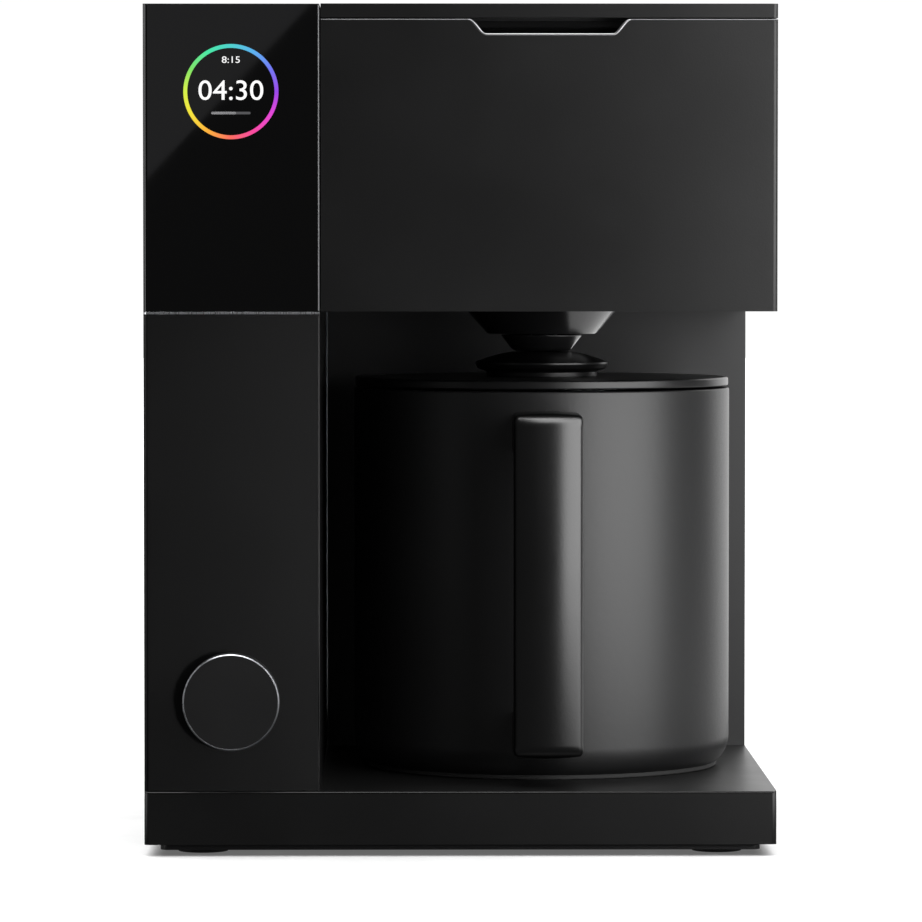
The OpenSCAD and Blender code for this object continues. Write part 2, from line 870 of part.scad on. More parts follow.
module tank_lid() color(charcoal)
    difference() {
        union() {
            block(tank_x, [tank_y[0], tank_axis[0] - 4], [body_h - 2 * tank_lid_r, body_h]);
            block([tank_x[0] + ear_w + 0.3, tank_x[1] - ear_w - 0.3], [tank_axis[0] - 5, tank_axis[0]],
                [body_h - 2 * tank_lid_r, body_h]);
            rod_x(tank_lid_r, [tank_x[0] + ear_w + 0.3, tank_x[1] - ear_w - 0.3],
                tank_axis[0], tank_axis[1]);
            // Plug that fits inside the tank's rim
            block([tank_x[0] + 3, tank_x[1] - 3], [tank_y[0] + 3, tank_y[1] - 12],
                [tank_rim - 3, body_h - 2 * tank_lid_r + 1]);
        }
        block([tank_x[0] + 5, tank_x[1] - 5], [tank_y[0] + 5, tank_y[1] - 14], [tank_rim - 4, body_h - 2]);
        rod_x(1.2 + run_gap, [tank_x[0] - 1, tank_x[1] + 1], tank_axis[0], tank_axis[1], small);
    }

module tank_lid_pins() color(steel)
    for (x = [tank_x[0], tank_x[1] - ear_w - 6])
        rod_x(1.2, [x, x + ear_w + 6], tank_axis[0], tank_axis[1], small);

module tank_valve() color(silicone) translate(dock_xy) {
    disc(5, dock_z + 3.4, dock_z + 4.4, fine);
    disc(2.5, dock_z + 4.4, tank_floor + 3, small);
    disc(8.5, tank_floor + 2.9, tank_floor + 4.5, fine);
}

module tank_valve_spring() color(steel) translate(dock_xy)
    coil(3.6, 0.35, dock_z + 4.45, web_z - 0.05, 3);

/* Thermal carafe, about its own upright axis */

foot_top = 24.9;
foot_ring_z = base_top + 0.2;
neck_r = 45;
liner_r = 66;

// Right half of the vessel's section: a straight wall with a round lower corner
module vessel_half(r, corner, z0, z1) {
    translate([0, z0])
        square([r - corner, z1 - z0]);
    translate([0, z0 + corner])
        square([r, z1 - z0 - corner]);
    intersection() {
        translate([r - corner, z0 + corner])
            circle(corner);
        translate([0, z0])
            square([r, z1 - z0]);
    }
}

module carafe_shell() color(satin_black) translate([brew_x, 0])
    rotate_extrude()
        intersection() {
            difference() {
                vessel_half(carafe_r, carafe_corner, foot_top - 2.4, carafe_top);
                vessel_half(carafe_r - 1.2, carafe_corner - 1.2, foot_top + 1.2, carafe_top - 1.5);
                square([neck_r + 1.2, carafe_top + 1]);
            }
            translate([0, foot_top])
                square([carafe_r, carafe_top]);
        }

module carafe_foot() color(rubber) translate([brew_x, 0]) {
    ring(neck_r + 1.2, 65.8, foot_ring_z + 0.3, foot_top);
    ring(61, 65.4, foot_ring_z, foot_ring_z + 0.3);
}

module carafe_liner() color(steel) translate([brew_x, 0])
    rotate_extrude()
        difference() {
            union() {
                vessel_half(liner_r, 9, 28, 158);
                square([neck_r + 1, carafe_top]);
                translate([0, 24.9])
                    square([neck_r + 1, 4]);
            }
            vessel_half(liner_r - 1, 8, 29, 157);
            translate([0, 30])
                square([neck_r, carafe_top]);
            square([neck_r + 2, 24.9]);
        }

handle_front = -102;
arm_h = 15;
arm_y = -60;

module handle_side() {
    r = 5;
    outer_h = handle_z1 - handle_z0;
    inner_h = outer_h - 2 * arm_h;
    y0 = handle_front;
    difference() {
        translate([y0, handle_z0]) {
            translate([r, 0])
                square([arm_y - y0 - r, outer_h]);
            translate([0, r])
                square([r + 1, outer_h - 2 * r]);
            for (z = [r, outer_h - r])
                translate([r, z])
                    circle(r, $fn = fine);
        }
        translate([y0 + grip_t, handle_z0 + arm_h]) {
            translate([r, 0])
                square([60, inner_h]);
            translate([0, r])
                square([r + 1, inner_h - 2 * r]);
            for (z = [r, inner_h - r])
                translate([r, z])
                    circle(r, $fn = fine);
        }
    }
}

// Outline of the handle from the front: straight sides and gently arched ends
module handle_outline() {
    h = handle_z1 - handle_z0;
    intersection() {
        rounded_rect(handle_w, h, 2.2);
        translate([0, h / 2 - end_r])
            circle(end_r);
        translate([0, end_r - h / 2])
            circle(end_r);
    }
}

module carafe_handle() color(satin_black)
    difference() {
        intersection() {
            translate([brew_x - handle_w / 2, 0, 0])
                rotate([90, 0, 90])
                    linear_extrude(handle_w)
                        handle_side();
            translate([brew_x, arm_y, (handle_z0 + handle_z1) / 2])
                rotate([90, 0, 0])
                    linear_extrude(60)
                        handle_outline();
            translate([brew_x, handle_front + grip_r])
                disc(grip_r, 0, handle_z1 + 1);
        }
        translate([brew_x, 0])
            disc(carafe_r, 0, 200);
        for (z = stud_heights)
            rod_y(2.5, [-82, arm_y], brew_x, z, small);
    }

stud_heights = [handle_z0 + arm_h / 2, handle_z1 - arm_h / 2];

module handle_studs() color(steel)
    for (z = stud_heights)
        difference() {
            rod_y(2.5, [-82, -68], brew_x, z, small);
            translate([brew_x, 0])
                disc(carafe_r, 0, 200);
        }

lid_top = 169.1;
lid_bottom = carafe_top + 0.7;
hub_r = neck_r - 0.5;

module carafe_lid() color(satin_black) translate([brew_x, 0])
    rotate_extrude()
        polygon([
            [14, 152], [hub_r, 152], [hub_r, 158], [hub_r - 1.4, 158], [hub_r - 1.4, 160.4],
            [hub_r, 160.4], [hub_r, lid_bottom], [69.6, lid_bottom], [70, lid_bottom + 0.4],
            [70, lid_top - 0.6], [69.4, lid_top], [12, lid_top], [12, lid_top - 3],
            [hub_r - 3, lid_top - 3], [hub_r - 3, 154.5], [14, 154.5]
        ]);

module carafe_lid_gasket() color(silicone) translate([brew_x, 0])
    ring(hub_r - 1.4, neck_r - run_gap, 158.1, 160.3);

cap_top = 178.4;
cap_r = 24.8;
cap_rim = 174.6;
cap_hole_r = 11.3;
cap_bulge = 0.4;

// A point on the cap's slope, from the hole's edge (t = 0) to the rim (t = 1)
function cap_point(t) = [
    cap_hole_r + (cap_r - cap_hole_r) * t,
    cap_top - (cap_top - cap_rim) * t + cap_bulge * 4 * t * (1 - t)
];

module brew_cap() color(satin_black) translate([brew_x, 0])
    rotate_extrude()
        polygon(concat(
            [[7, lid_top - 2], [7, 176.4], [9, cap_top]],
            [for (i = [0:8]) cap_point(i / 8)],
            [[cap_r, 172.2], [22.6, 171.2], [22.6, lid_top], [12, lid_top], [12, lid_top - 2]]
        ));

module mixing_tube() color(satin_black) translate([brew_x, 0]) {
    ring(5.6, 7, 44, 176, fine);
    ring(7, 11, lid_top - 4, lid_top - 2, fine);
}

base_pan();
bottom_plate();
rubber_feet();
bottom_screws();
column_shell();
column_front_panel();
trim_strip();
display_glass();
display_module();
control_board();
encoder_body();
encoder_nut();
switch_plunger();
encoder_shaft();
knob();
inner_frame();
power_supply();
water_pump();
flow_meter();
heater();
supply_hose();
pump_hose();
feed_hose();
hot_water_tube();
wiring_loom();
power_inlet();
inlet_contacts();
tower_shell();
head_shell();
head_front_panel();
chamber_liner();
port_seal();
hinge_brackets();
lid_hinge_pins();
lid_panel();
lid_liner();
shower_head();
lid_gasket();
basket_body();
valve_stem();
valve_cup();
valve_seal();
valve_spring();
tank_dock();
tank_body();
tank_seal();
tank_lid();
tank_lid_pins();
tank_valve();
tank_valve_spring();
carafe_shell();
carafe_liner();
carafe_foot();
carafe_handle();
handle_studs();
carafe_lid();
carafe_lid_gasket();
brew_cap();
mixing_tube();
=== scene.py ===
import json
import math

import bmesh
import bpy
from mathutils import Matrix, Vector

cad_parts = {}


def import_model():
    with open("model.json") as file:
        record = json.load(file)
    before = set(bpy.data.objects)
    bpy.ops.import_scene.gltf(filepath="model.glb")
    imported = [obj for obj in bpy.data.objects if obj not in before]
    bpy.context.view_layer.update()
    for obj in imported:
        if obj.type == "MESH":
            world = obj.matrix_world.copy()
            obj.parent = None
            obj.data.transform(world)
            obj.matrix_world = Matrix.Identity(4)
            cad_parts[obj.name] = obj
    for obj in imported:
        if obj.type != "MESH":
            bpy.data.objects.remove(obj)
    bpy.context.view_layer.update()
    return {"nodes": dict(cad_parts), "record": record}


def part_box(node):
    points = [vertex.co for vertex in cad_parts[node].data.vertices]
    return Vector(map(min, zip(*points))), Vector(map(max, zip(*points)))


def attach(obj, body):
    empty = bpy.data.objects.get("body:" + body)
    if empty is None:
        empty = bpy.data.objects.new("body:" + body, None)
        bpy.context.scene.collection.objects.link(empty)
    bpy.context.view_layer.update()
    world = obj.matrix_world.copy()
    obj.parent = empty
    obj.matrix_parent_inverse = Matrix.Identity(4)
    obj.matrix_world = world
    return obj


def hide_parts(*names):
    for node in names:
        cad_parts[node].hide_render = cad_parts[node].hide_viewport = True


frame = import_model()
nodes = frame["nodes"]

MM = 0.001
ROUND_STEPS = 224
CORNER_STEPS = 7


# ---------------------------------------------------------------- places taken from the frame

def low(node):
    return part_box(node)[0]


def high(node):
    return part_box(node)[1]


def middle(node):
    """The middle of a node's box."""
    return (low(node) + high(node)) / 2


def half_width(node):
    """Half of a node's width, in millimetres."""
    return (high(node).x - low(node).x) / 2 / MM


def heights(node):
    """A node's lowest and highest places, in millimetres."""
    return low(node).z / MM, high(node).z / MM


BREW_X = middle("carafe_foot").x
HEAD_X = middle("head_front_panel").x
BASKET_X = middle("basket_body").x
COLUMN_X = middle("display_glass").x
KNOB_Z = middle("knob").z
FRONT_Y = low("display_glass").y
BODY_TOP = high("lid_panel").z
NOTCH_HALF = 28.9
NOTCH_RUN = 6.5
NOTCH_DEPTH = 5.3


# ---------------------------------------------------------------- materials

def new_material(name):
    """An empty node material with its tree and its Principled shader."""
    material = bpy.data.materials.new(name)
    material.use_nodes = True
    tree = material.node_tree
    return material, tree, tree.nodes["Principled BSDF"]


def coordinates(tree, stretch=(1, 1, 1)):
    """Places in the frame, in metres, stretched for brushed or drawn surfaces."""
    place = tree.nodes.new("ShaderNodeTexCoord")
    mapping = tree.nodes.new("ShaderNodeMapping")
    mapping.inputs["Scale"].default_value = stretch
    tree.links.new(place.outputs["Object"], mapping.inputs["Vector"])
    return mapping.outputs["Vector"]


def noise(tree, vector, scale, detail=3, rough=0.55):
    node = tree.nodes.new("ShaderNodeTexNoise")
    node.inputs["Scale"].default_value = scale
    node.inputs["Detail"].default_value = detail
    node.inputs["Roughness"].default_value = rough
    tree.links.new(vector, node.inputs["Vector"])
    return node.outputs["Fac"]


def spread(tree, factor, low_value, high_value):
    """Maps the usual range of a noise factor onto a range of values."""
    node = tree.nodes.new("ShaderNodeMapRange")
    node.inputs["From Min"].default_value = 0.3
    node.inputs["From Max"].default_value = 0.7
    node.inputs["To Min"].default_value = low_value
    node.inputs["To Max"].default_value = high_value
    tree.links.new(factor, node.inputs["Value"])
    return node.outputs["Result"]


def two_tones(tree, factor, first, second):
    node = tree.nodes.new("ShaderNodeMix")
    node.data_type = "RGBA"
    node.inputs["A"].default_value = (*first, 1)
    node.inputs["B"].default_value = (*second, 1)
    tree.links.new(factor, node.inputs["Factor"])
    return node.outputs["Result"]


def bump(tree, shader, height, depth):
    """Fine relief, with its depth in metres."""
    node = tree.nodes.new("ShaderNodeBump")
    node.inputs["Distance"].default_value = depth
    node.inputs["Strength"].default_value = 1.0
    tree.links.new(height, node.inputs["Height"])
    tree.links.new(node.outputs["Normal"], shader.inputs["Normal"])


def tint(colour, amount):
    return tuple(channel * amount for channel in colour)


def colour_between(tree, shader, factor, first, second):
    """Varies the base colour between two tones."""
    tree.links.new(two_tones(tree, factor, first, second), shader.inputs["Base Color"])


def roughness_between(tree, shader, factor, smoothest, roughest):
    """Varies the roughness between two values."""
    tree.links.new(spread(tree, factor, smoothest, roughest), shader.inputs["Roughness"])


def moulded(name, colour, rough, grain=1400, depth=0.00002, level=0.5, metallic=0.0):
    """Moulded or coated surface: fine grain, cloudy gloss and a slight change of tone."""
    material, tree, shader = new_material(name)
    vector = coordinates(tree)
    cloud = noise(tree, vector, 22, 4)
    fine = noise(tree, vector, grain, 2, 0.6)
    colour_between(tree, shader, cloud, tint(colour, 0.86), tint(colour, 1.14))
    roughness_between(tree, shader, cloud, rough * 0.94, rough * 1.06)
    bump(tree, shader, fine, depth)
    shader.inputs["Specular IOR Level"].default_value = level
    shader.inputs["Metallic"].default_value = metallic
    return material


def powder_coat(name, colour, rough):
    """Powder coat on steel: soft orange peel under a fine sparkle of grain."""
    material, tree, shader = new_material(name)
    vector = coordinates(tree)
    peel = noise(tree, vector, 420, 2, 0.4)
    speck = noise(tree, vector, 2600, 1, 0.5)
    cloud = noise(tree, vector, 18, 3)
    colour_between(tree, shader, cloud, tint(colour, 0.85), tint(colour, 1.15))
    roughness_between(tree, shader, speck, rough * 0.9, rough * 1.1)
    add = tree.nodes.new("ShaderNodeMath")
    add.operation = "MULTIPLY_ADD"
    add.inputs[1].default_value = 0.35
    tree.links.new(speck, add.inputs[0])
    tree.links.new(peel, add.inputs[2])
    bump(tree, shader, add.outputs["Value"], 0.00003)
    return material


def brushed(name, colour, rough, stretch=(30, 30, 2200)):
    """Metal with fine drawn lines."""
    material, tree, shader = new_material(name)
    lines = noise(tree, coordinates(tree, stretch), 1.0, 3, 0.6)
    colour_between(tree, shader, lines, tint(colour, 0.82), tint(colour, 1.1))
    roughness_between(tree, shader, lines, rough * 0.75, rough * 1.25)
    bump(tree, shader, lines, 0.000008)
    shader.inputs["Metallic"].default_value = 1.0
    return material


def cover_glass(name):
    """Black back-printed glass with a faint haze of fingerprints."""
    material, tree, shader = new_material(name)
    vector = coordinates(tree)
    haze = noise(tree, vector, 34, 5, 0.62)
    print_speck = noise(tree, vector, 5200, 1)
    colour_between(tree, shader, print_speck, (0.0008, 0.0008, 0.0009), (0.0013, 0.0013, 0.0014))
    roughness_between(tree, shader, haze, 0.014, 0.030)
    shader.inputs["IOR"].default_value = 1.52
    return material


def smoked_plastic(name):
    """Clear smoke-grey tank plastic."""
    material, tree, shader = new_material(name)
    vector = coordinates(tree)
    cloud = noise(tree, vector, 16, 3)
    colour_between(tree, shader, cloud, (0.30, 0.32, 0.34), (0.38, 0.40, 0.42))
    roughness_between(tree, shader, cloud, 0.06, 0.11)
    shader.inputs["Transmission Weight"].default_value = 0.92
    shader.inputs["IOR"].default_value = 1.5
    return material


def circuit_board(name):
    """Solder mask with a faint grid of copper tracks."""
    material, tree, shader = new_material(name)
    vector = coordinates(tree)
    brick = tree.nodes.new("ShaderNodeTexBrick")
    brick.inputs["Scale"].default_value = 160
    brick.inputs["Mortar Size"].default_value = 0.03
    brick.inputs["Color1"].default_value = (0.012, 0.075, 0.038, 1)
    brick.inputs["Color2"].default_value = (0.010, 0.062, 0.034, 1)
    brick.inputs["Mortar"].default_value = (0.05, 0.16, 0.07, 1)
    tree.links.new(vector, brick.inputs["Vector"])
    tree.links.new(brick.outputs["Color"], shader.inputs["Base Color"])
    roughness_between(tree, shader, noise(tree, vector, 90), 0.28, 0.42)
    bump(tree, shader, brick.outputs["Fac"], 0.00002)
    return material


def glow(name, colour, strength):
    """A lit part of the display, slightly uneven like a real light guide."""
    material, tree, shader = new_material(name)
    factor = noise(tree, coordinates(tree), 800, 2)
    shader.inputs["Base Color"].default_value = (0, 0, 0, 1)
    tree.links.new(two_tones(tree, factor, tint(colour, 0.96), colour), shader.inputs["Emission Color"])
    shader.inputs["Emission Strength"].default_value = strength
    shader.inputs["Roughness"].default_value = 0.2
    return material


def ring_glow(name, centre_x, centre_z):
    """A rainbow that runs round the light ring."""
    material, tree, shader = new_material(name)
    stops = [
        (0.000, (0.30, 0.045, 0.80)), (0.083, (0.15, 0.17, 0.90)), (0.167, (0.09, 0.42, 0.86)),
        (0.250, (0.06, 0.62, 0.60)), (0.333, (0.05, 0.80, 0.36)), (0.417, (0.19, 0.76, 0.12)),
        (0.500, (0.66, 0.86, 0.05)), (0.583, (0.93, 0.76, 0.03)), (0.667, (0.98, 0.42, 0.03)),
        (0.750, (0.96, 0.13, 0.10)), (0.833, (0.94, 0.05, 0.34)), (0.917, (0.78, 0.045, 0.66)),
        (1.000, (0.30, 0.045, 0.80)),
    ]
    place = tree.nodes.new("ShaderNodeTexCoord")
    split = tree.nodes.new("ShaderNodeSeparateXYZ")
    tree.links.new(place.outputs["Object"], split.inputs["Vector"])
    offsets = []
    for axis, centre in (("X", centre_x), ("Z", centre_z)):
        node = tree.nodes.new("ShaderNodeMath")
        node.operation = "SUBTRACT"
        node.inputs[1].default_value = centre
        tree.links.new(split.outputs[axis], node.inputs[0])
        offsets.append(node.outputs["Value"])
    angle = tree.nodes.new("ShaderNodeMath")
    angle.operation = "ARCTAN2"
    tree.links.new(offsets[1], angle.inputs[0])
    tree.links.new(offsets[0], angle.inputs[1])
    turn = tree.nodes.new("ShaderNodeMath")
    turn.operation = "DIVIDE"
    turn.inputs[1].default_value = 2 * math.pi
    tree.links.new(angle.outputs["Value"], turn.inputs[0])
    part = tree.nodes.new("ShaderNodeMath")
    part.operation = "FRACT"
    tree.links.new(turn.outputs["Value"], part.inputs[0])
    ramp = tree.nodes.new("ShaderNodeValToRGB")
    ramp.color_ramp.elements[0].position = stops[0][0]
    ramp.color_ramp.elements[0].color = (*stops[0][1], 1)
    ramp.color_ramp.elements[1].position = stops[-1][0]
    ramp.color_ramp.elements[1].color = (*stops[-1][1], 1)
    for position, colour in stops[1:-1]:
        ramp.color_ramp.elements.new(position).color = (*colour, 1)
    tree.links.new(part.outputs["Value"], ramp.inputs["Fac"])
    shader.inputs["Base Color"].default_value = (0, 0, 0, 1)
    tree.links.new(ramp.outputs["Color"], shader.inputs["Emission Color"])
    shader.inputs["Emission Strength"].default_value = 1.0
    return material


HOUSING = moulded("housing_plastic", (0.0011, 0.0011, 0.0012), 0.365, level=0.43)
TOWER = moulded("tower_plastic", (0.012, 0.012, 0.0125), 0.46)
LOWER_PANEL = moulded("lower_panel_plastic", (0.0016, 0.0016, 0.0017), 0.39, level=0.46)
COLUMN_PANEL = moulded("column_panel_plastic", (0.0016, 0.0016, 0.0017), 0.36, level=0.15)
EDGE = moulded("edge_polish", (0.16, 0.16, 0.165), 0.30, metallic=0.8)
EDGE_GLOSS = moulded("edge_gloss", (0.002, 0.002, 0.0021), 0.22)
INNER = moulded("inner_plastic", (0.012, 0.012, 0.013), 0.48, grain=900)
GLASS = cover_glass("black_glass")
TRIM = brushed("bright_trim", (0.60, 0.61, 0.63), 0.30, (2200, 30, 30))
RUBBER = moulded("rubber_black", (0.011, 0.011, 0.011), 0.72, grain=700, depth=0.00004)
STAINLESS = brushed("stainless", (0.56, 0.56, 0.57), 0.26)
CAST = moulded("aluminium_cast", (0.52, 0.53, 0.54), 0.44, grain=600, depth=0.00004, metallic=1.0)
BOARD = circuit_board("circuit_board")
BRASS = brushed("brass_contact", (0.66, 0.50, 0.22), 0.24)
SILICONE = moulded("silicone_grey", (0.30, 0.31, 0.33), 0.45, grain=500)
WIRE = moulded("wire_insulation", (0.22, 0.02, 0.02), 0.42, grain=600)
SMOKE = smoked_plastic("smoke_plastic")
COAT = powder_coat("carafe_coat", (0.0085, 0.0085, 0.0088), 0.40)
CARAFE_PLASTIC = moulded("carafe_plastic", (0.0035, 0.0035, 0.0037), 0.34)
GRIP = moulded("grip_plastic", (0.0004, 0.0004, 0.0005), 0.29, level=0.78)
LIP = moulded("lip_polish", (0.34, 0.34, 0.35), 0.28, metallic=0.85)
BASKET_PLASTIC = moulded("basket_plastic", (0.0070, 0.0070, 0.0073), 0.22)
PRINT = moulded("print_white", (0.62, 0.62, 0.62), 0.6, grain=900)
KNOB_FACE = moulded("knob_plastic", (0.0042, 0.0042, 0.0045), 0.46, grain=2200)
BRIGHT_CUT = brushed("bright_cut", (0.42, 0.43, 0.45), 0.34, (900, 900, 900))

SLOT_MATERIALS = {
    "housing_plastic": HOUSING, "inner_plastic": INNER, "black_glass": GLASS, "bright_trim": TRIM,
    "rubber_black": RUBBER, "stainless": STAINLESS, "aluminium_cast": CAST, "circuit_board": BOARD,
    "brass_contact": BRASS, "silicone_grey": SILICONE, "wire_insulation": WIRE,
    "smoke_plastic": SMOKE, "carafe_coat": COAT, "carafe_plastic": CARAFE_PLASTIC,
}
NODE_MATERIALS = {
    "column_front_panel": COLUMN_PANEL, "basket_body": BASKET_PLASTIC, "tower_shell": TOWER,
    "base_pan": LOWER_PANEL,
}


# ---------------------------------------------------------------- mesh helpers

def rounded(points):
    """A closed outline whose corners are rounded: each point is (r, z, radius), in millimetres."""
    outline = []
    count = len(points)
    for i, (r, z, radius) in enumerate(points):
        here = Vector((r, z))
        if radius <= 0:
            outline.append(here)
            continue
        before = Vector(points[i - 1][:2]) - here
        after = Vector(points[(i + 1) % count][:2]) - here
        half = before.angle(after) / 2
        reach = min(radius / math.tan(half), before.length * 0.49, after.length * 0.49)
        true_radius = reach * math.tan(half)
        inward = (before.normalized() + after.normalized()).normalized()
        centre = here + inward * (true_radius / math.sin(half))
        start = here + before.normalized() * reach - centre
        end = here + after.normalized() * reach - centre
        turn = start.angle_signed(end)
        for k in range(CORNER_STEPS + 1):
            a = -turn * k / CORNER_STEPS
            outline.append(centre + Vector((start.x * math.cos(a) - start.y * math.sin(a),
                                            start.x * math.sin(a) + start.y * math.cos(a))))
    return outline


def mesh_object(name, bm):
    mesh = bpy.data.meshes.new(name)
    bmesh.ops.recalc_face_normals(bm, faces=bm.faces)
    bm.to_mesh(mesh)
    bm.free()
    piece = bpy.data.objects.new(name, mesh)
    bpy.context.scene.collection.objects.link(piece)
    return piece


def smooth(piece, angle=34):
    """Smooth shading, kept crisp at edges sharper than the angle."""
    for face in piece.data.polygons:
        face.use_smooth = True
    piece.data.set_sharp_from_angle(angle=math.radians(angle))


def skin(bm, rings, closed=False):
    """Joins each ring of vertices to the next one, and the last to the first if closed."""
    following = rings[1:] + rings[:1] if closed else rings[1:]
    for first, second in zip(rings, following):
        for i in range(len(first)):
            j = (i + 1) % len(first)
            bm.faces.new((first[i], first[j], second[j], second[i]))


def solid(bm, rings):
    """A closed solid through rings of vertices, with flat ends."""
    skin(bm, rings)
    bm.faces.new(rings[0])
    bm.faces.new(list(reversed(rings[-1])))


def lathe(name, points, along_y=False):
    """A closed outline turned about an upright axis, or about one along Y."""
    bm = bmesh.new()
    outline = rounded(points)
    rings = []
    for k in range(ROUND_STEPS):
        a = 2 * math.pi * k / ROUND_STEPS
        c, s = math.cos(a), math.sin(a)
        if along_y:
            rings.append([bm.verts.new((r * c * MM, z * MM, r * s * MM)) for r, z in outline])
        else:
            rings.append([bm.verts.new((r * c * MM, r * s * MM, z * MM)) for r, z in outline])
    skin(bm, rings, closed=True)
    bmesh.ops.remove_doubles(bm, verts=bm.verts, dist=1e-7)
    bmesh.ops.dissolve_degenerate(bm, edges=bm.edges, dist=1e-8)
    piece = mesh_object(name, bm)
    smooth(piece)
    return piece


def slab(bm, outline, y0, y1):
    """Adds a plate with an outline in X and Z, between two depths."""
    solid(bm, [[bm.verts.new((x, y, z)) for x, z in outline] for y in (y0, y1)])


def finish_piece(piece, material, slot, body, *replaced):
    """Gives a piece its material and its body, and hides the nodes it stands for. The slot is not used."""
    piece.data.materials.clear()
    piece.data.materials.append(material)
    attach(piece, body)
    if replaced:
        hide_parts(*replaced)


def soften(node, width):
    """Rounds the edges of a CAD node with modifiers."""
    weld = nodes[node].modifiers.new("weld", "WELD")
    weld.merge_threshold = 2e-6
    bevel = nodes[node].modifiers.new("soft_edges", "BEVEL")
    bevel.width = width * MM
    bevel.segments = 3
    bevel.limit_method = "ANGLE"
    bevel.angle_limit = math.radians(30)
    bevel.harden_normals = True
    bevel.miter_outer = "MITER_ARC"
    bevel.use_clamp_overlap = True


# ---------------------------------------------------------------- CAD nodes: materials and soft edges

for entry in frame["record"]["subparts"]:
    name = entry["node"]
    piece = nodes[name]
    piece.data.materials.clear()
    piece.data.materials.append(NODE_MATERIALS.get(name, SLOT_MATERIALS[entry["material_slot"]]))

EDGE_WIDTHS = {
    "base_pan": 0.7, "bottom_plate": 0.4, "column_shell": 0.5, "column_front_panel": 0.35,
    "display_glass": 0.3, "trim_strip": 0.12, "tower_shell": 0.6, "head_shell": 0.5,
    "head_front_panel": 0.35, "lid_panel": 0.5, "tank_lid": 0.5,
    "chamber_liner": 0.5, "lid_liner": 0.5, "tank_body": 0.4, "power_inlet": 0.5,
    "hinge_brackets": 0.25, "inner_frame": 0.3, "tank_dock": 0.4,
}
for name, width in EDGE_WIDTHS.items():
    soften(name, width)


# ---------------------------------------------------------------- carafe

def carafe_body():
    """The coated outer shell: a straight wall, a round lower corner and an open mouth."""
    r = half_width("carafe_shell")
    z0, z1 = heights("carafe_shell")
    inner = r - 1.2
    hole = 47
    sheet = 1.5
    bend = 12
    foot_r = half_width("carafe_foot")
    corner = [
        (r - bend + bend * math.cos(math.radians(a)), z0 + 9.6 + bend * math.sin(math.radians(a)), 0)
        for a in range(-53, 3, 5)
    ]
    piece = lathe("carafe_body", [
        (hole, z0, 0.3), *corner, (r, z1, 0.7),
        (hole, z1, 0.4), (hole, z1 - sheet, 0), (inner, z1 - sheet, 0),
        (inner, z0 + 5, 6), (foot_r - 2, z0 + sheet, 0), (hole, z0 + sheet, 0),
    ])
    piece.location = (BREW_X, 0, 0)
    finish_piece(piece, COAT, "carafe_coat", "carafe", "carafe_shell")


def carafe_lid_disc():
    """The flat lid: a wide brim over a plug that reaches into the mouth."""
    z0, z1 = heights("carafe_lid")
    rim = 70.0
    plug = 44.5
    hole = 12
    piece = lathe("carafe_lid_disc", [
        (14, z0, 0.3), (plug, z0, 0.6), (plug, z1 - 3.4, 0.2),
        (rim - 0.6, z1 - 3.4, 0.3), (rim, z1 - 3.0, 0.4), (rim, z1 - 0.1, 1.3), (rim - 1.6, z1, 0.6),
        (60, z1, 0), (30, z1, 0), (hole, z1, 0), (hole, z1 - 3, 0),
        (plug - 3.5, z1 - 3, 0), (plug - 3.5, z0 + 2.5, 0), (14, z0 + 2.5, 0),
    ])
    piece.location = (BREW_X, 0, 0)
    finish_piece(piece, CARAFE_PLASTIC, "carafe_plastic", "carafe_cover", "carafe_lid")


def brew_cap():
    """The mushroom-shaped cap: a sloping crown over a thin rim, on a narrower neck."""
    z1 = high("brew_cap").z / MM
    mouth = 11.3
    rim = 24.8
    neck = 20.8
    drop = 3.8
    slope = []
    for k in range(7, 0, -1):
        t = k / 8
        slope.append((mouth + (rim - mouth) * t, z1 - drop * t + 1.6 * t * (1 - t), 0))
    piece = lathe("brew_cap_dome", [
        (12, z1 - 9.3, 0), (neck, z1 - 9.3, 0.3), (neck, z1 - 7.4, 0.4),
        (rim - 0.7, z1 - 6.2, 0.4), (rim, z1 - 4.6, 0.3), (rim, z1 - drop, 0.3), *slope,
        (mouth, z1, 0.4), (9, z1, 0.5), (7, z1 - 2, 0.3), (7, z1 - 11.3, 0), (12, z1 - 11.3, 0),
    ])
    piece.location = (BREW_X, 0, 0)
    finish_piece(piece, CARAFE_PLASTIC, "carafe_plastic", "carafe_cover", "brew_cap")


